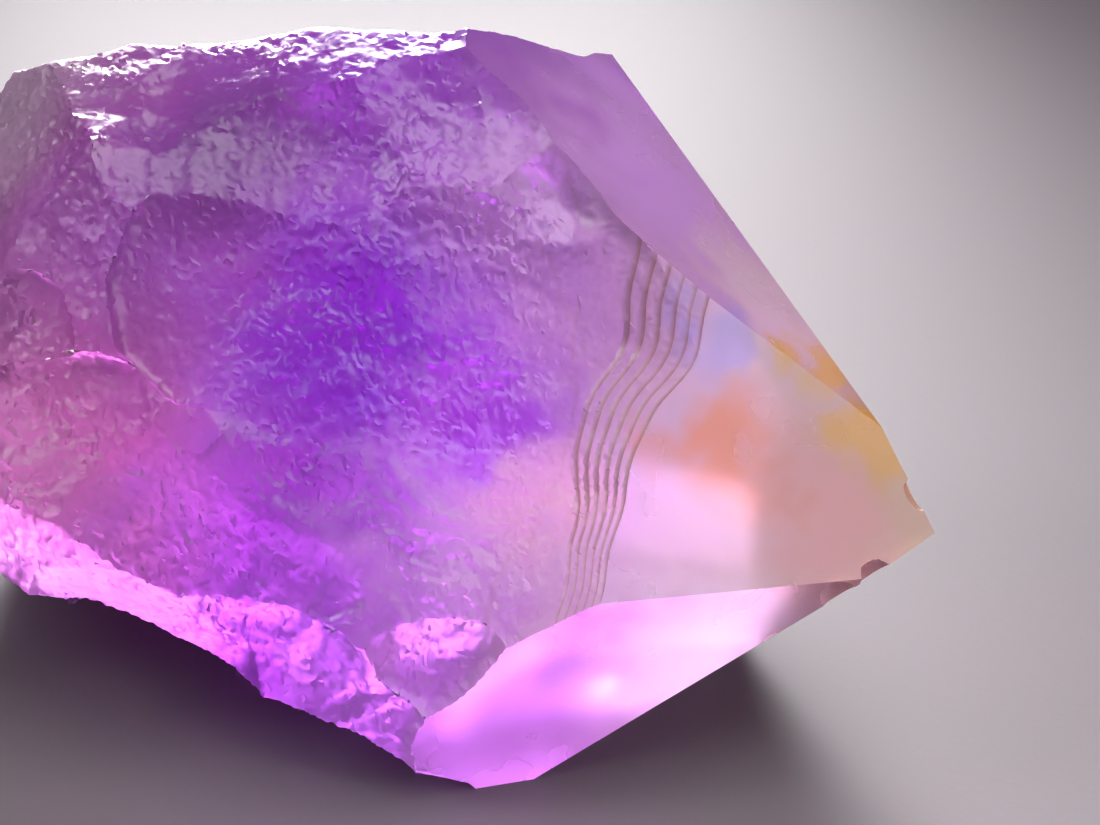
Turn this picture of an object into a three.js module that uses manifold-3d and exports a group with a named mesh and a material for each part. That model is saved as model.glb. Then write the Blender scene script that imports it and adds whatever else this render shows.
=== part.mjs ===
// Ametrine point: one quartz crystal lying on its side, its tip to +X.
// Six flat growth faces meet at the tip. Behind them the crystal is broken all round, with
// shell-shaped flake scars that leave sharp ridges, down to the snapped-off root.
// Millimetres, +Z up, origin under the middle of the crystal on the surface it lies on.
import * as THREE from "three";
import { mergeVertices } from "three/addons/utils/BufferGeometryUtils.js";
import Module from "manifold-3d";

const wasm = await Module();
wasm.setup();

// Driving dimensions, in millimetres and degrees
const LENGTH = 96; // tip to root along the crystal's long axis
const FACE_LEAN = 38.2; // a quartz pyramid face leans this far from the long axis
const FIRST_FACE = -6; // azimuth of the upper pyramid face
const SIXTH_TURN = 60; // from each pyramid face to the next
const REST_RADIUS = 20.5; // axis to resting face
const SHOULDER = -38; // station of the shoulder, where the body is widest
const BLOCK = 400; // side of the blocks that cut flat faces, larger than the crystal

// Flake scars scattered over the broken body
const SCAR_COUNT = 62;
const SCAR_CENTRE = -62; // station that the scars are spread round
const SCAR_SPREAD = [-1, 0.7]; // sine of their leans, from the root to the tip's side
const SCAR_RADIUS = [4, 13];
const BOWL_DEPTH = [0.07, 0.17]; // share of the scar's radius
const LEDGE_DEPTH = [0.05, 0.09]; // share of the scar's radius
const LEDGE_SHARE = 0.35; // share of the scars that are ledges
const SCAR_TILT = 13; // most that a scar's axis leans from its face's normal
const GOLDEN_ANGLE = 137.5; // from each scar to the next, so that they spread evenly
const SCAR_SEED = 11;

// How a scar is shaped
const SIDES_PER_MM = 1.5; // sides of a scar's rim to each millimetre of its radius
const SCAR_SIDES = [10, 30]; // fewest and most
const SCAR_RINGS = 4;
const BOWL = 2; // power of a bowl-shaped floor
const LEDGE = 7; // power of a flat floor with a steep step round it
const RIM_REACH = 1.2; // a cutter goes on past its scar's rim by this factor
const RIM_WOBBLE = 0.09; // unevenness of the rim
const STRIKE = 0.55; // how far the inner rings lie towards the rim that was struck
const RIB_START = 0.55; // ribs run from this share of the radius to the rim
const RIB_HEIGHT = 0.22;
const RIB_RUN = 0.15; // width of a rib's steep side
const LID_HEIGHT = 12; // how far a cutter stands above its scar

// Stations run along the axis: 0 at the ideal tip and negative towards the root.
// Azimuths turn about the axis: 0 is up, 90 faces -Y, 180 is down and 270 faces +Y.

// The growth faces, a sixth of a turn apart from FIRST_FACE on. set_back is how far a face's
// plane stands outside the ideal tip: three large faces make the tip and three smaller ones
// start behind it.
const GROWTH_FACES = [
  { name: "upper", set_back: 3.3 },
  { name: "front", set_back: 0 },
  { name: "lower_front", set_back: 2.34 },
  { name: "under", set_back: 0 },
  { name: "lower_back", set_back: 4.2 },
  { name: "back", set_back: 0 },
];

// The breaks that bound the rough body. Each plane crosses its azimuth at radius from the
// axis, at that station, and leans towards the tip (+) or the root (-).
const BREAKS = [
  { name: "front", azimuth: 57, station: -40, radius: 23.7, lean: 20.6 },
  { name: "front_root", azimuth: 66, station: -62, radius: 31.2, lean: -8 },
  { name: "crown", azimuth: 14, station: -40, radius: 37, lean: -4 },
  { name: "top", azimuth: -25, station: -50, radius: 34.2, lean: -6 },
  { name: "top_root", azimuth: -17, station: -80, radius: 30, lean: -18 },
  { name: "keel_front", azimuth: 112, station: -40, radius: 30.6, lean: -2 },
  { name: "keel_front_root", azimuth: 108, station: -70, radius: 29.4, lean: -10 },
  { name: "lower", azimuth: 153, station: SHOULDER, radius: 27.2, lean: -3 },
  { name: "lower_root", azimuth: 152, station: -66, radius: 21.8, lean: -12 },
  { name: "back_keel", azimuth: 217, station: -45, radius: 26, lean: -7 },
  { name: "back", azimuth: 251, station: -45, radius: 28, lean: -8 },
  { name: "back_top", azimuth: 295, station: -48, radius: 31, lean: -9 },
  { name: "root_front", azimuth: 46, station: -70, radius: 34, lean: -30 },
  { name: "root", azimuth: 150, station: -LENGTH, radius: 0, lean: -84 },
  { name: "root_top", azimuth: -13, station: -LENGTH, radius: 5, lean: -63 },
];
const REST = { azimuth: 180, station: SHOULDER, radius: REST_RADIUS, lean: 0 };

// Flake scars with places of their own. station and azimuth find the middle. The scar's axis
// leans towards the tip by lean and stands turn past the azimuth. bearing points to the
// struck rim: 0 is towards the tip, and it turns against the clock as seen from outside.
const MARKED_SCARS = [
  // The broad flake off the front face, whose ribbed rim is that face's left border
  { station: -35, azimuth: 51, lean: 25, turn: 5, radius: 18.5, depth: 1.5, ribs: 9, bearing: 20 },
  // The shells along the border of the upper face
  { station: -33, azimuth: 17, lean: 28, turn: 22, radius: 5.5, depth: 1.3, ribs: 3, bearing: 60 },
  { station: -37, azimuth: 13, lean: 20, turn: 26, radius: 6.5, depth: 1.6, ribs: 3, bearing: 100 },
  { station: -41.5, azimuth: 15, lean: 14, turn: 20, radius: 7.5, depth: 1.8, ribs: 3, bearing: 40 },
  // The notch on the lower ridge, and the flakes below it
  { station: -32.5, azimuth: 98, lean: 14, turn: 10, radius: 5, depth: 1.7, ribs: 0, bearing: 0 },
  { station: -36, azimuth: 106, lean: 2, turn: 4, radius: 7.5, depth: 1.5, ribs: 3, bearing: 30 },
  { station: -44, azimuth: 108, lean: -6, turn: -4, radius: 9, depth: 1.5, ribs: 3, bearing: 70 },
  // The shallow dishes in the middle of the front
  { station: -46, azimuth: 54, lean: 15, turn: 4, radius: 10, depth: 1.1, ribs: 3, bearing: 250 },
  { station: -50, azimuth: 78, lean: 12, turn: 4, radius: 11, depth: 1.7, ribs: 0, bearing: 120 },
  // The hollow high on the root side of the front, and the lump left below it
  { station: -54, azimuth: 28, lean: 10, turn: 12, radius: 12, depth: 2.6, ribs: 4, bearing: 20 },
  { station: -61, azimuth: 66, lean: 2, turn: 6, radius: 12, depth: 1.6, ribs: 0, bearing: 300 },
];

// Small chips knocked off the tip and the ridges beside it, each at radius from the axis
const TIP_CHIPS = [
  { station: -1, azimuth: 60, radius: 1.4, lean: 72 },
  { station: -3.6, azimuth: 116, radius: 4.4, lean: 34 },
  { station: -2.2, azimuth: 352, radius: 2.4, lean: 44 },
  { station: -6, azimuth: 118, radius: 7, lean: 26 },
];
const CHIP = { radius: 1.7, depth: 0.45 };

// Constants of the random numbers, which are spread evenly from 0 to 1
const RANDOM_FACTOR = 1664525;
const RANDOM_STEP = 1013904223;
const RANDOM_RANGE = 2 ** 32;

const AXIS = new THREE.Vector3(1, 0, 0);
const MERGE_DISTANCE = 1e-4;
const { clamp, degToRad, radToDeg, lerp } = THREE.MathUtils;

// Seeded random numbers, so that the scars come out the same each time
function* randomNumbers(seed) {
  let state = seed;
  while (true) {
    state = (Math.imul(state, RANDOM_FACTOR) + RANDOM_STEP) >>> 0;
    yield state / RANDOM_RANGE;
  }
}
const numbers = randomNumbers(SCAR_SEED);
const between = (low, high) => lerp(low, high, numbers.next().value);

// The unit vector at an azimuth, leaned from straight outward towards the tip
function leaned(azimuth, lean) {
  const turn = degToRad(azimuth);
  const outward = new THREE.Vector3(0, -Math.sin(turn), Math.cos(turn));
  return outward.multiplyScalar(Math.cos(degToRad(lean))).addScaledVector(AXIS, Math.sin(degToRad(lean)));
}

// The point at a station, an azimuth and a radius from the axis
function pointAt({ station, azimuth, radius }) {
  return leaned(azimuth, 0).multiplyScalar(radius).addScaledVector(AXIS, station);
}

function growthPlane({ set_back }, index) {
  return new THREE.Plane(leaned(FIRST_FACE + index * SIXTH_TURN, FACE_LEAN), -set_back);
}

function breakPlane(place) {
  return new THREE.Plane().setFromNormalAndCoplanarPoint(leaned(place.azimuth, place.lean), pointAt(place));
}

const growthPlanes = GROWTH_FACES.map(growthPlane);
const breakPlanes = BREAKS.map(breakPlane);
const allPlanes = [...growthPlanes, ...breakPlanes, breakPlane(REST)];

// A closed three.js geometry as a solid that can be cut and joined
function solidOf(geometry) {
  const bare = geometry.clone();
  bare.deleteAttribute("normal");
  bare.deleteAttribute("uv");
  const merged = mergeVertices(bare, MERGE_DISTANCE);
  return new wasm.Manifold(
    new wasm.Mesh({
      numProp: 3,
      vertProperties: merged.getAttribute("position").array,
      triVerts: new Uint32Array(merged.getIndex().array),
    }),
  );
}

// A solid as a three.js geometry with flat faces
function geometryOf(solid) {
  const mesh = solid.getMesh();
  const indexed = new THREE.BufferGeometry();
  indexed.setAttribute("position", new THREE.BufferAttribute(mesh.vertProperties, 3));
  indexed.setIndex(new THREE.BufferAttribute(mesh.triVerts, 1));
  const flat = indexed.toNonIndexed();
  flat.computeVertexNormals();
  return flat;
}

// A geometry whose own +Z is turned to a direction and then moved to a point
function aimed(geometry, direction, point) {
  const turn = new THREE.Quaternion().setFromUnitVectors(new THREE.Vector3(0, 0, 1), direction);
  return geometry.applyQuaternion(turn).translate(point.x, point.y, point.z);
}

// The block that fills everything behind a plane
function blockBehind(plane) {
  const block = new THREE.BoxGeometry(BLOCK, BLOCK, BLOCK).translate(0, 0, -BLOCK / 2);
  return solidOf(aimed(block, plane.normal, plane.coplanarPoint(new THREE.Vector3())));
}

// A shell-shaped flake: a dish, ribbed round its rim or smooth, closed by a lid
function scarCutter({ radius, depth, power = BOWL, ribs = 0, bearing = 0 }) {
  const floor = (r) => depth * ((r / radius) ** power - 1);
  const smooth = radius * (ribs > 0 ? RIB_START : RIM_REACH);
  const reach = radius * RIM_REACH;
  const profile = [];
  for (let i = 0; i <= SCAR_RINGS; i++) {
    const r = (smooth * i) / SCAR_RINGS;
    profile.push(new THREE.Vector2(r, floor(r)));
  }
  for (let i = 1; i <= ribs; i++) {
    const r = lerp(smooth, reach, i / ribs);
    profile.push(new THREE.Vector2(r - RIB_RUN, floor(r) + RIB_HEIGHT), new THREE.Vector2(r, floor(r)));
  }
  profile.push(new THREE.Vector2(reach, LID_HEIGHT), new THREE.Vector2(0, LID_HEIGHT));
  const sides = clamp(Math.round(radius * SIDES_PER_MM), ...SCAR_SIDES);
  const cutter = new THREE.LatheGeometry(profile, sides).rotateX(Math.PI / 2);
  return struckFrom(cutter, radius, degToRad(bearing));
}

// Moves a cutter's inner rings towards the struck rim, and makes its outline uneven
function struckFrom(cutter, radius, bearing) {
  const place = cutter.getAttribute("position");
  for (let i = 0; i < place.count; i++) {
    const r = Math.hypot(place.getX(i), place.getY(i));
    const turn = Math.atan2(place.getY(i), place.getX(i));
    const uneven = Math.sin(2 * turn + 3 * bearing) + Math.sin(3 * turn + bearing);
    const wide = r * (1 + RIM_WOBBLE * uneven);
    const shift = STRIKE * Math.max(0, radius - r);
    place.setX(i, wide * Math.cos(turn) + shift * Math.cos(bearing));
    place.setY(i, wide * Math.sin(turn) + shift * Math.sin(bearing));
  }
  return cutter;
}

// Where a ray from the axis at a station leaves the uncut crystal, and the plane it meets
function surfaceAt(station, direction) {
  const ray = new THREE.Ray(AXIS.clone().multiplyScalar(station), direction);
  let nearest = { distance: Infinity };
  for (const plane of allPlanes) {
    const distance = ray.distanceToPlane(plane);
    if (distance !== null && distance < nearest.distance) nearest = { distance, plane };
  }
  return { point: ray.at(nearest.distance, new THREE.Vector3()), plane: nearest.plane };
}

// A scar of random size, tilted a little from its face, at a point on a break
function scatteredScar({ point, plane }) {
  const radius = between(...SCAR_RADIUS);
  const isLedge = between(0, 1) < LEDGE_SHARE;
  const depth = radius * between(...(isLedge ? LEDGE_DEPTH : BOWL_DEPTH));
  const power = isLedge ? LEDGE : BOWL;
  const cutter = scarCutter({ radius, depth, power, bearing: between(0, 360) });
  const tilts = ["x", "y", "z"].map(() => degToRad(between(-SCAR_TILT, SCAR_TILT)));
  const direction = plane.normal.clone().applyEuler(new THREE.Euler(...tilts));
  return solidOf(aimed(cutter, direction, point));
}

// The scars scattered over the breaks, spread evenly as seen from inside the body
function scatteredScars() {
  const places = [];
  for (let i = 0; i < SCAR_COUNT; i++) {
    const lean = radToDeg(Math.asin(lerp(...SCAR_SPREAD, i / SCAR_COUNT)));
    places.push(surfaceAt(SCAR_CENTRE, leaned(i * GOLDEN_ANGLE, lean)));
  }
  return places.filter(({ plane }) => breakPlanes.includes(plane)).map(scatteredScar);
}

function markedScar(scar) {
  const { point } = surfaceAt(scar.station, leaned(scar.azimuth, 0));
  return solidOf(aimed(scarCutter(scar), leaned(scar.azimuth + scar.turn, scar.lean), point));
}

function tipChip(place) {
  return solidOf(aimed(scarCutter(CHIP), leaned(place.azimuth, place.lean), pointAt(place)));
}

// The whole crystal: the space behind every plane, less the scars and the chips
function crystalSolid() {
  const uncut = allPlanes.map(blockBehind).reduce((kept, block) => kept.intersect(block));
  const cuts = [...scatteredScars(), ...MARKED_SCARS.map(markedScar), ...TIP_CHIPS.map(tipChip)];
  return cuts.reduce((kept, cut) => kept.subtract(cut), uncut);
}

const ametrine = new THREE.MeshStandardMaterial({ color: 0xa65bd0, roughness: 0.2, metalness: 0 });
const crystal = new THREE.Mesh(geometryOf(crystalSolid()), ametrine);
crystal.name = "crystal";

// The origin goes under the middle of the crystal's box
const box = new THREE.Box3().setFromObject(crystal, true);
const middle = box.getCenter(new THREE.Vector3());
crystal.position.set(-middle.x, -middle.y, -box.min.z);

const ametrinePoint = new THREE.Group();
ametrinePoint.add(crystal);

export default ametrinePoint;
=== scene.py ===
"""An ametrine point: one quartz crystal, violet in the body and golden at the tip, lying on its side.

The rough breaks get their fine relief, the growth faces stay flat, and one zoned quartz finish covers
the whole crystal. A pale floor, softboxes and a camera complete the scene. Metres, +Z up.
"""

from __future__ import annotations

import logging
import math
from dataclasses import dataclass
from enum import Enum
from typing import Any

import bpy
import numpy as np
from mathutils import Euler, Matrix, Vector


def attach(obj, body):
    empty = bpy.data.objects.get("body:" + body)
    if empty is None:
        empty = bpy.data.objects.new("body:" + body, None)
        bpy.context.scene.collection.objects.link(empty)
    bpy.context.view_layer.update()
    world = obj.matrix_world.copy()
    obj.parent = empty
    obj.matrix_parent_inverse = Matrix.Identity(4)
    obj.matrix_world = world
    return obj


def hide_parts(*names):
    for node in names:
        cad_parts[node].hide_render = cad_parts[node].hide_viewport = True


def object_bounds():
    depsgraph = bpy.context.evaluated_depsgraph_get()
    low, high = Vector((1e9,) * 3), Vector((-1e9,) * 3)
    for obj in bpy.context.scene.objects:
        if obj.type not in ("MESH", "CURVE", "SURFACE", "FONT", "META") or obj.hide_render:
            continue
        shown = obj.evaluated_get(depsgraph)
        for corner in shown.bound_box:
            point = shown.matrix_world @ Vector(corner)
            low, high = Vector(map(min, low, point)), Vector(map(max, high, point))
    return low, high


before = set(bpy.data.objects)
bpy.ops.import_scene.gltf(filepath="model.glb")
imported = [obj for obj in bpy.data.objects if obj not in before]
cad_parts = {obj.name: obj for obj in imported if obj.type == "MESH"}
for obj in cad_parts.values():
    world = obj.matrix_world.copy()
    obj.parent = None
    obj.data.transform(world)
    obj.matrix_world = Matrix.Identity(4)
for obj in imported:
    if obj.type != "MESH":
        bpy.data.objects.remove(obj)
CAD_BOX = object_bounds()

log = logging.getLogger("ametrine_point")

MM = 0.001
IMAGE_WIDTH = 1100
IMAGE_HEIGHT = 825
TIP = Vector((48.54, 0.63, 20.5)) * MM  # where the ideal tip would be, with no chips


class Relief(Enum):
    """The kinds of texture that carve the breaks."""

    FACETED = "VORONOI"
    RIDGED = "MUSGRAVE"


def linear_colour(code: str) -> tuple[float, float, float, float]:
    """Turn an sRGB hex colour into linear red, green and blue with full opacity.

    Args:
        code: six hex digits, such as "8A4FC0".

    Returns:
        The colour as four linear numbers.
    """
    shares = [int(code[i : i + 2], 16) / 255 for i in (0, 2, 4)]
    red, green, blue = (s / 12.92 if s <= 0.04045 else ((s + 0.055) / 1.055) ** 2.4 for s in shares)
    return red, green, blue, 1.0


def per_metre(size_mm: float) -> float:
    """Give the texture scale at which a pattern repeats every size_mm millimetres."""
    return 1 / (size_mm * MM)


def add_node(
    tree: bpy.types.NodeTree, kind: str, inputs: dict[Any, Any] | None = None, **settings: Any
) -> bpy.types.Node:
    """Add a shader node with its settings, values and links.

    Args:
        tree: the node tree it goes into.
        kind: the node's type name.
        inputs: for each input's name or number, a value, or the output socket that feeds it.
        settings: the node's own properties.

    Returns:
        The new node.
    """
    node = tree.nodes.new(kind)
    for name, value in settings.items():
        setattr(node, name, value)
    for name, value in (inputs or {}).items():
        if isinstance(value, bpy.types.NodeSocket):
            tree.links.new(value, node.inputs[name])
        else:
            node.inputs[name].default_value = value
    return node


def select_only(piece: bpy.types.Object) -> None:
    """Make one object the only selected and active one."""
    bpy.ops.object.select_all(action="DESELECT")
    piece.select_set(True)
    bpy.context.view_layer.objects.active = piece


def apply_modifier(piece: bpy.types.Object, kind: str, **settings: Any) -> None:
    """Add a modifier with its settings and apply it at once.

    Args:
        piece: the object whose mesh changes.
        kind: the modifier's type name.
        settings: the modifier's properties.
    """
    select_only(piece)
    modifier = piece.modifiers.new(kind.title(), kind)
    for name, value in settings.items():
        setattr(modifier, name, value)
    bpy.ops.object.modifier_apply(modifier=modifier.name)


def vertex_places(mesh: bpy.types.Mesh) -> np.ndarray:
    """Give the places of a mesh's vertices as an array of rows.

    Args:
        mesh: the mesh to read.

    Returns:
        One row of three coordinates per vertex.
    """
    places = np.empty(len(mesh.vertices) * 3)
    mesh.vertices.foreach_get("co", places)
    return places.reshape(-1, 3)


@dataclass(frozen=True)
class FlatFace:
    """A flat face: the direction that it looks to, by its azimuth round the long axis and lean to the tip."""

    name: str
    azimuth: float
    lean: float

    def normal(self) -> Vector:
        """Give the face's outward unit vector. Azimuth 0 is up and 90 is towards -Y."""
        turn, lean = math.radians(self.azimuth), math.radians(self.lean)
        return Vector((math.sin(lean), -math.sin(turn) * math.cos(lean), math.cos(turn) * math.cos(lean)))


QUARTZ_LEAN = 38.2  # degrees that a quartz pyramid face leans from the long axis
FLAT_FACES = (
    FlatFace("upper", -6, QUARTZ_LEAN),
    FlatFace("front", 54, QUARTZ_LEAN),
    FlatFace("lower_front", 114, QUARTZ_LEAN),
    FlatFace("under", 174, QUARTZ_LEAN),
    FlatFace("lower_back", 234, QUARTZ_LEAN),
    FlatFace("back", 294, QUARTZ_LEAN),
    FlatFace("rest", 180, 0),
)


@dataclass(frozen=True)
class Carving:
    """One layer of relief on the breaks: its kind, the size and depth of its forms and how it is turned."""

    name: str
    relief: Relief
    size_mm: float
    depth_mm: float
    turn_deg: tuple[float, float, float]
    stretch: tuple[float, float, float]
    settings: tuple[tuple[str, Any], ...]

    def carve(self, piece: bpy.types.Object, group: str) -> None:
        """Displace a mesh by this layer and apply it.

        Args:
            piece: the object whose mesh is carved.
            group: the vertex group that says how much of the depth each vertex gets.
        """
        texture = bpy.data.textures.new(self.name, self.relief.value)
        texture.noise_scale = 1.0
        for name, value in self.settings:
            setattr(texture, name, value)
        grain = bpy.data.objects.new(self.name, None)
        bpy.context.scene.collection.objects.link(grain)
        grain.rotation_euler = Euler([math.radians(turn) for turn in self.turn_deg])
        grain.scale = Vector(self.stretch) * self.size_mm * MM
        bpy.context.view_layer.update()
        apply_modifier(
            piece,
            "DISPLACE",
            texture=texture,
            texture_coords="OBJECT",
            texture_coords_object=grain,
            strength=self.depth_mm * MM,
            mid_level=0.5,
            vertex_group=group,
        )
        bpy.data.objects.remove(grain)


CARVINGS = (
    Carving(
        "broad_hackle", Relief.FACETED, 8.0, 1.2, (37, 21, 58), (1, 1, 1.4),
        (("distance_metric", "MANHATTAN"), ("weight_1", 1.0), ("weight_2", -0.6)),
    ),
    Carving(
        "crumple", Relief.FACETED, 2.4, 0.45, (64, -28, 17), (1, 1.5, 0.8),
        (("distance_metric", "CHEBYCHEV"), ("weight_1", 1.0), ("weight_2", -0.5)),
    ),
    Carving(
        "fine_wrinkles", Relief.RIDGED, 0.9, 0.17, (12, 48, -35), (1, 0.6, 1.6),
        (("musgrave_type", "RIDGED_MULTIFRACTAL"), ("octaves", 3.0)),
    ),
)


BETWEEN_RISERS = 0.5  # a part of a step with no riser in it


@dataclass(frozen=True)
class StepRidges:
    """The stair of thin steps by which a growth face drops to the break beside it.

    Places on the face are measured from the ideal tip: slope runs down to it, and level runs across.
    """

    face: FlatFace
    border_mm: float = -25.6  # slope at which the face ends
    sway_mm: float = 1.6  # how far that border bows to either side
    sway_level_mm: float = 4.6
    sway_over_mm: float = 2.5
    pitch_mm: float = 0.77  # from step to step, level with the tip
    pitch_growth: float = 0.036  # added for each millimetre of level, so that the steps fan out
    least_pitch_mm: float = 0.5
    count: int = 6
    riser: float = 0.3  # share of the pitch that a step's riser takes up
    rise_mm: float = 0.12  # least height of a riser
    climb: float = 0.8  # millimetres that the face stands out for each step past its border
    reach_mm: float = 4.0  # a break deeper below the face than this starts to fade from the stair
    fade_mm: float = 2.0
    past: float = 10.0  # number of steps onto the face at which the stair has no more effect
    wobble_mm: float = 0.15
    wobble_every_mm: float = 7.0

    def run(self, places: np.ndarray) -> np.ndarray:
        """Count the steps from the face's border to some places.

        Args:
            places: one row of three coordinates per place.

        Returns:
            For each place the number of steps, with a fraction. It is negative on the face.
        """
        normal = np.array(self.face.normal())
        slope = np.array((1.0, 0.0, 0.0)) - normal[0] * normal
        slope /= np.linalg.norm(slope)
        offsets_mm = (places - np.array(TIP)) / MM
        level = offsets_mm @ np.cross(normal, slope)
        sway = self.sway_mm * np.tanh((level - self.sway_level_mm) / self.sway_over_mm)
        wobble = self.wobble_mm * np.sin(level * math.tau / self.wobble_every_mm)
        pitch = np.maximum(self.pitch_mm + self.pitch_growth * level, self.least_pitch_mm)
        return (self.border_mm + sway + wobble - offsets_mm @ slope) / pitch

    def heights_mm(self, run: np.ndarray, depths_mm: np.ndarray) -> np.ndarray:
        """Work out how high above the face's plane the stair puts some places.

        Args:
            run: the number of steps from the border to each place.
            depths_mm: how far below the plane each place was.

        Returns:
            The heights, positive on the face so that it can be cut back flat.
        """
        whole = np.floor(run)
        steps = np.clip(whole + np.clip((run - whole) / self.riser, 0, 1), 0, self.count)
        drop = np.maximum(depths_mm * steps / self.count, self.rise_mm * steps)
        return np.where(run < 0, -run * self.climb, -drop)

    def nearness(self, run: np.ndarray, depths_mm: np.ndarray) -> np.ndarray:
        """Work out how far some places belong to the stair.

        Args:
            run: the number of steps from the border to each place.
            depths_mm: how far below the face's plane each place is.

        Returns:
            For each place one in the stair, less beside it and nought away from it.
        """
        shallow = np.clip((self.reach_mm + self.fade_mm - depths_mm) / self.fade_mm, 0, 1)
        return shallow * np.clip(run + self.past, 0, 1)


@dataclass(frozen=True)
class ColourZone:
    """A round cloud of colour in the quartz, which fades out from its core to its edge; one cloud is instead a
    painted highlight of glare on the lower face.
    """

    name: str
    centre_mm: tuple[float, float, float]
    reach_mm: float
    colour: str
    strength: float = 1.0
    core: float = 0.2


ZONES = (
    ColourZone("lilac_upper_face", (21, 6, 46), 15, "F0B4FC", 0.9),
    ColourZone("pink_upper_face", (32, 3.5, 37), 9.5, "FFDAE6", 0.9),
    ColourZone("violet_heart", (5, -17, 37), 14.5, "8410D8", 1.0, 0.35),
    ColourZone("violet_bay", (15, -16, 33), 9.4, "BC34FF", 0.85),
    ColourZone("violet_low", (3, -25, 25), 10.5, "8420B4", 0.9),
    ColourZone("plum_top", (-9, -14, 52), 12, "743290", 0.8),
    ColourZone("rose_root", (-18, -28, 29), 17, "C05098", 0.8),
    ColourZone("milky_root", (-34, -8, 48), 16, "B49AB0", 0.8),
    ColourZone("pink_border", (22, -18, 26.5), 8.5, "FFBCD4", 0.9),
    ColourZone("blue_lilac", (30, -5, 38), 5.4, "BCA8F4", 0.85),
    ColourZone("pink_tip", (40, -6, 24), 10.5, "FFA8A6", 0.85),
    ColourZone("orange_cloud", (33.5, -8, 29.8), 7.4, "FF8846", 0.9),
    # Painted highlight: a pale pink-white cloud where light leaves the lower face as a bright glare, laid over
    # the face's own pale lavender.
    ColourZone("pale_lower_face", (33, -13, 13), 11, "FEE6F8", 0.9),
    ColourZone("gold_edge_high", (37, 1.6, 33.5), 4.8, "FFC25A", 0.9, 0.3),
    ColourZone("gold_edge_low", (43.5, 1.2, 27.3), 5.2, "FFBA40", 0.95, 0.3),
)
# Share of the length from the root, and the colour there
AXIS_COLOURS = (
    (0.0, "A88CA6"),
    (0.22, "AE58AC"),
    (0.5, "A53CD8"),
    (0.68, "D79BE0"),
    (0.84, "EBBCCB"),
    (1.0, "F0C4A4"),
)


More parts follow.
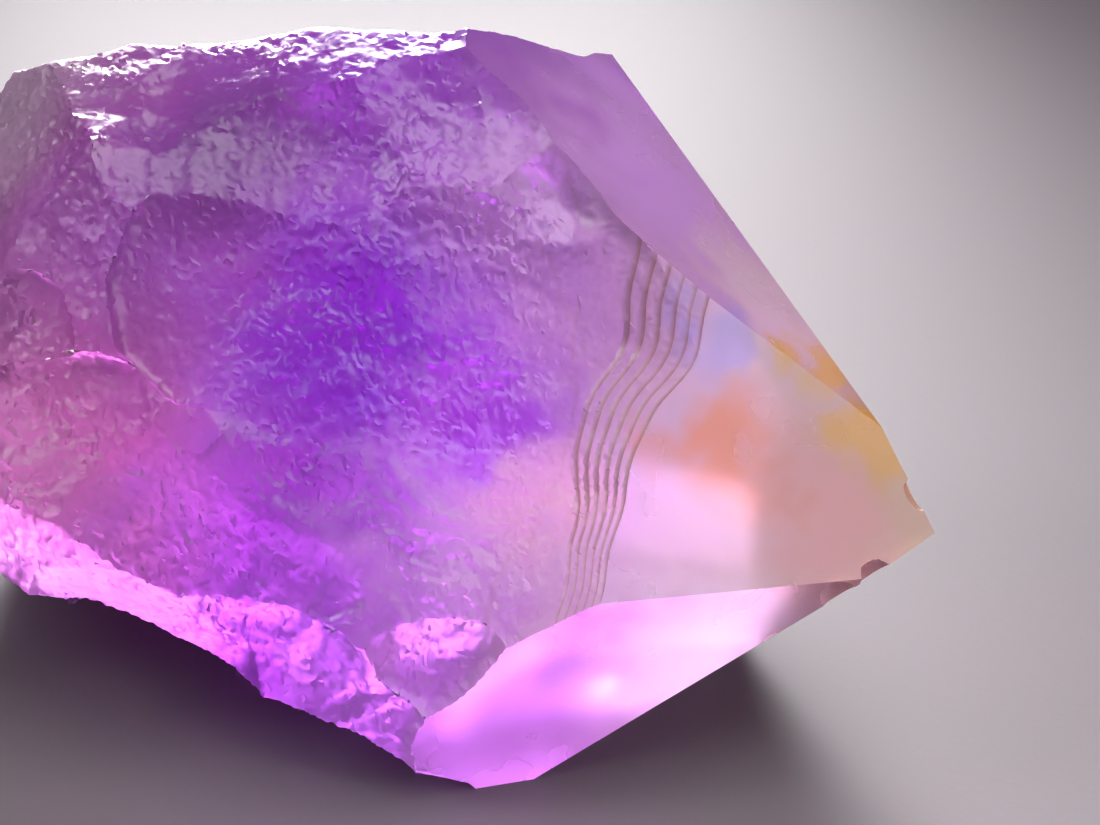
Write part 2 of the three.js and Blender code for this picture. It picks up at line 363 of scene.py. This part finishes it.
@dataclass(frozen=True)
class AmetrineQuartz:
    """Zoned quartz, grown in the ground and broken: clear and glassy on its growth faces, cloudy inside,
    and wrinkled where it broke, which makes it glint.
    """

    ior: float = 1.544
    transmission: float = 0.66
    absorption_colour: str = "D8B4EC"
    absorption_density: float = 4.0
    half_length_mm: float = 48.0
    stain_colour: str = "B4703C"
    stain: float = 0.8
    stain_width: float = 0.28  # share of a step that the rust takes up
    drift_mm: float = 8.0
    drift_detail: float = 2.0
    drift_roughness: float = 0.6
    drift_mm_per_share: tuple[float, float, float] = (14, 10, -12)
    face_roughness: tuple[float, float] = (0.14, 0.36)
    break_roughness: tuple[float, float] = (0.25, 0.6)
    wrinkle_mm: float = 0.9
    wrinkle_detail: float = 1.0
    wrinkle_depth_mm: float = 0.12
    wrinkle_strength: float = 0.7

    def material(self) -> bpy.types.Material:
        """Build the finish.

        Returns:
            The material.
        """
        made = bpy.data.materials.new("zoned_ametrine_quartz")
        made.use_nodes = True
        tree = made.node_tree
        tree.nodes.clear()
        place = add_node(tree, "ShaderNodeTexCoord").outputs["Object"]
        mask = add_node(tree, "ShaderNodeAttribute", attribute_name="growth_face").outputs["Fac"]
        drift = add_node(
            tree,
            "ShaderNodeTexNoise",
            {
                "Vector": place,
                "Scale": per_metre(self.drift_mm),
                "Detail": self.drift_detail,
                "Roughness": self.drift_roughness,
            },
        ).outputs["Fac"]
        shader = add_node(
            tree,
            "ShaderNodeBsdfPrincipled",
            {
                "Base Color": self._stained(tree, self._colour(tree, place, drift), mask),
                "IOR": self.ior,
                "Roughness": self._roughness(tree, drift, mask),
                "Transmission Weight": self.transmission,
                "Normal": self._bump(tree, place, mask),
            },
        )
        absorption = add_node(
            tree,
            "ShaderNodeVolumeAbsorption",
            {"Color": linear_colour(self.absorption_colour), "Density": self.absorption_density},
        )
        add_node(
            tree,
            "ShaderNodeOutputMaterial",
            {"Surface": shader.outputs["BSDF"], "Volume": absorption.outputs["Volume"]},
        )
        return made

    def _colour(
        self, tree: bpy.types.NodeTree, place: bpy.types.NodeSocket, drift: bpy.types.NodeSocket
    ) -> bpy.types.NodeSocket:
        """Lay the colour clouds over the colours that run from the root to the tip.

        Args:
            tree: the material's node tree.
            place: the point on the crystal.
            drift: a random share, which shifts the point so that the clouds have ragged edges.

        Returns:
            The colour.
        """
        throw = Vector(self.drift_mm_per_share) * MM
        shift = add_node(
            tree, "ShaderNodeVectorMath", {0: drift, 1: throw, 2: -throw / 2}, operation="MULTIPLY_ADD"
        ).outputs["Vector"]
        wander = add_node(
            tree, "ShaderNodeVectorMath", {0: place, 1: shift}, operation="ADD"
        ).outputs["Vector"]
        along = add_node(tree, "ShaderNodeSeparateXYZ", {"Vector": wander}).outputs["X"]
        half = self.half_length_mm * MM
        share = add_node(
            tree, "ShaderNodeMapRange", {"Value": along, "From Min": -half, "From Max": half}
        ).outputs["Result"]
        ramp = add_node(tree, "ShaderNodeValToRGB", {"Fac": share})
        elements = ramp.color_ramp.elements
        while len(elements) < len(AXIS_COLOURS):
            elements.new(1.0)
        for element, (position, code) in zip(elements, AXIS_COLOURS):
            element.position = position
            element.color = linear_colour(code)
        colour = ramp.outputs["Color"]
        for zone in ZONES:
            far = add_node(
                tree, "ShaderNodeVectorMath", {0: wander, 1: Vector(zone.centre_mm) * MM}, operation="DISTANCE"
            ).outputs["Value"]
            edge = zone.reach_mm * MM
            amount = add_node(
                tree,
                "ShaderNodeMapRange",
                {
                    "Value": far,
                    "From Min": zone.core * edge,
                    "From Max": edge,
                    "To Min": zone.strength,
                    "To Max": 0.0,
                },
                interpolation_type="SMOOTHSTEP",
            ).outputs["Result"]
            colour = add_node(
                tree,
                "ShaderNodeMix",
                {0: amount, 6: colour, 7: linear_colour(zone.colour)},
                data_type="RGBA",
            ).outputs[2]
        return colour

    def _stained(
        self, tree: bpy.types.NodeTree, colour: bpy.types.NodeSocket, mask: bpy.types.NodeSocket
    ) -> bpy.types.NodeSocket:
        """Stain the risers of the steps with rust, which gathers in them.

        Args:
            tree: the material's node tree.
            colour: the quartz's own colour.
            mask: one on the growth faces.

        Returns:
            The stained colour.
        """
        run = add_node(tree, "ShaderNodeAttribute", attribute_name="step_run").outputs["Fac"]
        part = add_node(tree, "ShaderNodeMath", {0: run}, operation="FRACT").outputs["Value"]
        riser = add_node(
            tree,
            "ShaderNodeMapRange",
            {"Value": part, "From Max": self.stain_width, "To Min": self.stain, "To Max": 0.0},
        ).outputs["Result"]
        broken = add_node(tree, "ShaderNodeMath", {0: 1.0, 1: mask}, operation="SUBTRACT").outputs["Value"]
        share = add_node(
            tree, "ShaderNodeMath", {0: riser, 1: broken}, operation="MULTIPLY"
        ).outputs["Value"]
        return add_node(
            tree,
            "ShaderNodeMix",
            {0: share, 6: colour, 7: linear_colour(self.stain_colour)},
            data_type="RGBA",
        ).outputs[2]

    def _roughness(
        self, tree: bpy.types.NodeTree, drift: bpy.types.NodeSocket, mask: bpy.types.NodeSocket
    ) -> bpy.types.NodeSocket:
        """Give the growth faces a satin polish with smears and the breaks a dull sheen.

        Args:
            tree: the material's node tree.
            drift: a random share that varies over the crystal.
            mask: one on the growth faces.

        Returns:
            The roughness.
        """
        ranges = []
        for smoothest, dullest in (self.break_roughness, self.face_roughness):
            values = {"Value": drift, "To Min": smoothest, "To Max": dullest}
            ranges.append(add_node(tree, "ShaderNodeMapRange", values).outputs["Result"])
        return add_node(tree, "ShaderNodeMix", {0: mask, 2: ranges[0], 3: ranges[1]}).outputs[0]

    def _bump(
        self, tree: bpy.types.NodeTree, place: bpy.types.NodeSocket, mask: bpy.types.NodeSocket
    ) -> bpy.types.NodeSocket:
        """Wrinkle the breaks more finely than the mesh can.

        Args:
            tree: the material's node tree.
            place: the point on the crystal.
            mask: one on the growth faces.

        Returns:
            The normal.
        """
        wrinkle = add_node(
            tree,
            "ShaderNodeTexNoise",
            {"Vector": place, "Scale": per_metre(self.wrinkle_mm), "Detail": self.wrinkle_detail},
            noise_type="RIDGED_MULTIFRACTAL",
        ).outputs["Fac"]
        strength = add_node(
            tree, "ShaderNodeMapRange", {"Value": mask, "To Min": self.wrinkle_strength, "To Max": 0.0}
        ).outputs["Result"]
        return add_node(
            tree,
            "ShaderNodeBump",
            {"Height": wrinkle, "Strength": strength, "Distance": self.wrinkle_depth_mm * MM},
        ).outputs["Normal"]


@dataclass
class Crystal:
    """The whole crystal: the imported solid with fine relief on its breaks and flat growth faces."""

    node: bpy.types.Object
    finish: AmetrineQuartz
    steps: StepRidges
    grid_mm: float = 0.26  # side of the fine mesh's squares
    quick_grid_mm: float = 0.4
    spare_mm: float = 1.6  # how far the flat faces stand out before they are cut back
    pull_mm: float = 0.8  # how far from a flat face the breaks are drawn out with it
    on_face_mm: float = 0.03
    merge_mm: float = 0.001
    smoothing: int = 6
    smoothing_factor: float = 0.5
    patch_mm: float = 26.0  # size of the rougher and smoother patches
    patch_twist: float = 2.0
    rough_range: tuple[float, float] = (0.5, 1.0)
    smooth_by_steps: float = 0.35  # share of the roughness that is left among the steps
    steps_to_rough: float = 6.0  # number of steps past the stair at which it is all back
    rough_levels: int = 10
    wanted_triangles: int = 230_000
    block: float = 0.4  # side of the block that the flat faces are cut with
    crease_deg: float = 32
    level_mm: float = 0.004  # a polygon this close to a flat face's plane lies in it
    aligned: float = 0.9995  # least cosine between its normal and the face's

    def build(self) -> bpy.types.Object:
        """Make the crystal's mesh and dress it.

        Returns:
            The finished piece.
        """
        piece = bpy.data.objects.new("ametrine_crystal", self.node.data.copy())
        bpy.context.scene.collection.objects.link(piece)
        piece.data.materials.clear()
        select_only(piece)
        bpy.ops.object.mode_set(mode="EDIT")
        bpy.ops.mesh.select_all(action="SELECT")
        bpy.ops.mesh.remove_doubles(threshold=self.merge_mm * MM)
        bpy.ops.object.mode_set(mode="OBJECT")
        corners = vertex_places(piece.data)
        offsets = {face.name: float((corners @ np.array(face.normal())).max()) for face in FLAT_FACES}
        grid_mm = self.grid_mm
        apply_modifier(piece, "REMESH", mode="VOXEL", voxel_size=grid_mm * MM)
        self._stand_out(piece, offsets)
        apply_modifier(piece, "SMOOTH", factor=self.smoothing_factor, iterations=self.smoothing)
        group = self._rough_share(piece)
        for carving in CARVINGS:
            carving.carve(piece, group)
        self._step(piece, offsets)
        triangles = 2 * len(piece.data.polygons)
        if triangles > self.wanted_triangles:
            apply_modifier(piece, "DECIMATE", ratio=self.wanted_triangles / triangles)
        self._cut_back(piece, offsets)
        self._shade(piece, offsets)
        piece.data.materials.clear()
        piece.data.materials.append(self.finish.material())
        piece.data.polygons.foreach_set("material_index", np.zeros(len(piece.data.polygons), np.int32))
        return piece

    def _stand_out(self, piece: bpy.types.Object, offsets: dict[str, float]) -> None:
        """Move the flat faces outwards, and draw the breaks beside them along.

        Args:
            piece: the crystal.
            offsets: each flat face's distance from the origin.
        """
        places = vertex_places(piece.data)
        for face in FLAT_FACES:
            normal = np.array(face.normal())
            gaps_mm = (offsets[face.name] - places @ normal) / MM - self.on_face_mm
            shares = 1 - np.clip(gaps_mm / self.pull_mm, 0, 1)
            places += np.outer(shares * self.spare_mm * MM, normal)
        piece.data.vertices.foreach_set("co", places.ravel())
        piece.data.update()

    def _rough_share(self, piece: bpy.types.Object) -> str:
        """Say how rough the crystal is from place to place: in patches, and smoother by the steps.

        Args:
            piece: the crystal.

        Returns:
            The name of the vertex group that holds the shares.
        """
        group = piece.vertex_groups.new(name="rough_share")
        places = vertex_places(piece.data)
        x, y, z = (places / MM * math.tau / self.patch_mm).T
        patches = np.sin(x + self.patch_twist * np.sin(y)) * np.sin(y + self.patch_twist * np.sin(z))
        shares = np.interp(patches, (-1, 1), self.rough_range)
        beyond = (self.steps.run(places) - self.steps.count) / self.steps_to_rough
        shares *= np.interp(beyond, (0, 1), (self.smooth_by_steps, 1))
        levels = np.round(shares * self.rough_levels).astype(int)
        for level in range(self.rough_levels + 1):
            group.add(np.flatnonzero(levels == level).tolist(), level / self.rough_levels, "REPLACE")
        return group.name

    def _step(self, piece: bpy.types.Object, offsets: dict[str, float]) -> None:
        """Bring the break up to the front face's border by a stair of thin steps.

        Args:
            piece: the crystal.
            offsets: each flat face's distance from the origin.
        """
        places = vertex_places(piece.data)
        normal = np.array(self.steps.face.normal())
        heights_mm = (places @ normal - offsets[self.steps.face.name]) / MM
        depths_mm = np.maximum(-heights_mm, 0)
        run = self.steps.run(places)
        wanted_mm = np.minimum(self.steps.heights_mm(run, depths_mm), self.spare_mm)
        moves_mm = (wanted_mm - heights_mm) * self.steps.nearness(run, depths_mm)
        places += np.outer(moves_mm * MM, normal)
        piece.data.vertices.foreach_set("co", places.ravel())
        piece.data.update()

    def _cut_back(self, piece: bpy.types.Object, offsets: dict[str, float]) -> None:
        """Cut the crystal along its flat faces, so that each is flat to a ragged border.

        Args:
            piece: the crystal.
            offsets: each flat face's distance from the origin.
        """
        bpy.ops.object.select_all(action="DESELECT")
        bpy.ops.mesh.primitive_cube_add(size=self.block)
        block = bpy.context.active_object
        bpy.ops.object.mode_set(mode="EDIT")
        for face in FLAT_FACES:
            normal = face.normal()
            bpy.ops.mesh.select_all(action="SELECT")
            bpy.ops.mesh.bisect(
                plane_co=normal * offsets[face.name], plane_no=normal, use_fill=True, clear_outer=True
            )
        bpy.ops.object.mode_set(mode="OBJECT")
        apply_modifier(piece, "BOOLEAN", operation="INTERSECT", object=block, solver="MANIFOLD")
        bpy.data.objects.remove(block)

    def _shade(self, piece: bpy.types.Object, offsets: dict[str, float]) -> None:
        """Mark the growth faces, and shade the breaks smooth between their creases.

        Args:
            piece: the crystal.
            offsets: each flat face's distance from the origin.
        """
        mesh = piece.data
        select_only(piece)
        bpy.ops.object.shade_smooth_by_angle(angle=math.radians(self.crease_deg))
        centres = np.empty(len(mesh.polygons) * 3)
        normals = np.empty(len(mesh.polygons) * 3)
        mesh.polygons.foreach_get("center", centres)
        mesh.polygons.foreach_get("normal", normals)
        flat = np.zeros(len(mesh.polygons), bool)
        for face in FLAT_FACES:
            normal = np.array(face.normal())
            level = np.abs(centres.reshape(-1, 3) @ normal - offsets[face.name]) < self.level_mm * MM
            flat |= level & (normals.reshape(-1, 3) @ normal > self.aligned)
        mesh.polygons.foreach_set("use_smooth", ~flat)
        flags = mesh.attributes.new("growth_face", "FLOAT", "FACE")
        flags.data.foreach_set("value", flat.astype(np.float32))
        places = vertex_places(mesh)
        steps = self.steps
        depths_mm = (offsets[steps.face.name] - places @ np.array(steps.face.normal())) / MM
        run = np.clip(steps.run(places), -BETWEEN_RISERS, steps.count - BETWEEN_RISERS)
        run[steps.nearness(run, depths_mm) < 1] = -BETWEEN_RISERS
        marks = mesh.attributes.new("step_run", "FLOAT", "POINT")
        marks.data.foreach_set("value", run.astype(np.float32))


@dataclass(frozen=True)
class PaleCard:
    """Matt pale card: even and dull, with a faint grain."""

    colour: str = "5E555B"
    roughness: float = 0.85
    grain_mm: float = 0.8
    grain_detail: float = 3.0
    grain_depth_mm: float = 0.05
    grain_strength: float = 0.25

    def material(self) -> bpy.types.Material:
        """Build the finish.

        Returns:
            The material.
        """
        made = bpy.data.materials.new("pale_card")
        made.use_nodes = True
        tree = made.node_tree
        tree.nodes.clear()
        place = add_node(tree, "ShaderNodeTexCoord").outputs["Object"]
        grain = add_node(
            tree,
            "ShaderNodeTexNoise",
            {"Vector": place, "Scale": per_metre(self.grain_mm), "Detail": self.grain_detail},
        ).outputs["Fac"]
        normal = add_node(
            tree,
            "ShaderNodeBump",
            {"Height": grain, "Strength": self.grain_strength, "Distance": self.grain_depth_mm * MM},
        ).outputs["Normal"]
        shader = add_node(
            tree,
            "ShaderNodeBsdfPrincipled",
            {"Base Color": linear_colour(self.colour), "Roughness": self.roughness, "Normal": normal},
        )
        add_node(tree, "ShaderNodeOutputMaterial", {"Surface": shader.outputs["BSDF"]})
        return made


@dataclass
class Floor:
    """The plain pale floor."""

    finish: PaleCard
    side: float = 6.0
    gap: float = 0.02 * MM  # keeps the floor clear of the crystal's resting face

    def build(self) -> bpy.types.Object:
        """Lay the floor just under the crystal.

        Returns:
            The floor.
        """
        bpy.ops.object.select_all(action="DESELECT")
        bpy.ops.mesh.primitive_plane_add(size=self.side, location=(0, 0, -self.gap))
        floor = bpy.context.active_object
        floor.name = "floor"
        floor.data.materials.append(self.finish.material())
        return floor


@dataclass(frozen=True)
class Softbox:
    """A square studio light: where it stands from the crystal, its side, its power and how far it spreads."""

    name: str
    azimuth: float
    elevation: float
    distance: float
    side: float
    power: float
    spread: float = 180

    def build(self, centre: Vector) -> None:
        """Place the light, looking at the crystal.

        Args:
            centre: the point that it looks at.
        """
        data = bpy.data.lights.new(self.name, "AREA")
        data.size = self.side
        data.energy = self.power
        data.spread = math.radians(self.spread)
        lamp = bpy.data.objects.new(self.name, data)
        bpy.context.scene.collection.objects.link(lamp)
        back = looking_back(self.azimuth, self.elevation)
        lamp.location = centre + back * self.distance
        lamp.rotation_euler = back.to_track_quat("Z", "Y").to_euler()


def looking_back(azimuth: float, elevation: float) -> Vector:
    """Give the direction from the crystal to a place round it. Azimuth 0 is towards -Y and 90 towards +X.

    Args:
        azimuth: degrees round the vertical.
        elevation: degrees above the floor.

    Returns:
        The unit vector.
    """
    turn, rise = math.radians(azimuth), math.radians(elevation)
    return Vector((math.sin(turn) * math.cos(rise), -math.cos(turn) * math.cos(rise), math.sin(rise)))


SOFTBOXES = (
    Softbox("back_box", -152, 13, 0.34, 0.15, 0.6, 40),
    Softbox("overhead_box", 80, 72, 0.6, 0.5, 4.0),
    Softbox("front_left_box", -60, 38, 0.7, 0.25, 2.4),
    Softbox("right_box", 75, 22, 0.5, 0.3, 0.9),
)


@dataclass
class Studio:
    """The soft light and the camera."""

    sky_colour: str = "E6DEE4"
    sky_strength: float = 0.12
    azimuth: float = 23.7
    elevation: float = 25.0
    focal_px: float = 3000.0
    distance: float = 0.25
    tip_px: tuple[float, float] = (935.0, 533.0)
    sensor_mm: float = 36.0
    clip_start: float = 1 * MM
    bounces: int = 4
    diffuse_bounces: int = 1
    glossy_bounces: int = 1
    through_bounces: int = 3

    def build(self) -> None:
        """Set up the sky, the softboxes and the camera."""
        low, high = CAD_BOX
        sky = bpy.data.worlds.new("soft_sky")
        bpy.context.scene.world = sky
        sky.use_nodes = True
        background = sky.node_tree.nodes["Background"]
        background.inputs["Color"].default_value = linear_colour(self.sky_colour)
        background.inputs["Strength"].default_value = self.sky_strength
        for box in SOFTBOXES:
            box.build((low + high) / 2)
        bpy.context.scene.view_settings.view_transform = "Standard"
        paths = bpy.context.scene.cycles
        paths.max_bounces = self.bounces
        paths.diffuse_bounces = self.diffuse_bounces
        paths.glossy_bounces = self.glossy_bounces
        paths.transmission_bounces = self.through_bounces
        self._camera()

    def _camera(self) -> None:
        """Stand the camera at the photograph's angle, with the tip at the same place in the picture."""
        back = looking_back(self.azimuth, self.elevation)
        right = Vector((0, 0, 1)).cross(back).normalized()
        up = back.cross(right)
        per_px = self.distance / self.focal_px
        aim = TIP - right * (self.tip_px[0] - IMAGE_WIDTH / 2) * per_px
        aim += up * (self.tip_px[1] - IMAGE_HEIGHT / 2) * per_px
        data = bpy.data.cameras.new("camera")
        data.sensor_width = self.sensor_mm
        data.lens = self.sensor_mm * self.focal_px / IMAGE_WIDTH
        data.clip_start = self.clip_start
        camera = bpy.data.objects.new("camera", data)
        bpy.context.scene.collection.objects.link(camera)
        camera.location = aim + back * self.distance
        camera.rotation_euler = back.to_track_quat("Z", "Y").to_euler()
        bpy.context.scene.camera = camera


def main() -> None:
    """Build the crystal, the floor and the studio in order."""
    logging.basicConfig(level=logging.INFO, format="%(name)s: %(message)s")
    front = next(face for face in FLAT_FACES if face.name == "front")
    crystal = Crystal(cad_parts["crystal"], AmetrineQuartz(), StepRidges(front)).build()
    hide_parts("crystal")
    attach(crystal, "root")
    log.info("crystal: %d faces", len(crystal.data.polygons))
    floor = Floor(PaleCard()).build()
    log.info("floor: %s", floor.name)
    Studio().build()
    log.info("studio: %d softboxes", len(SOFTBOXES))


if __name__ == "__main__":
    main()
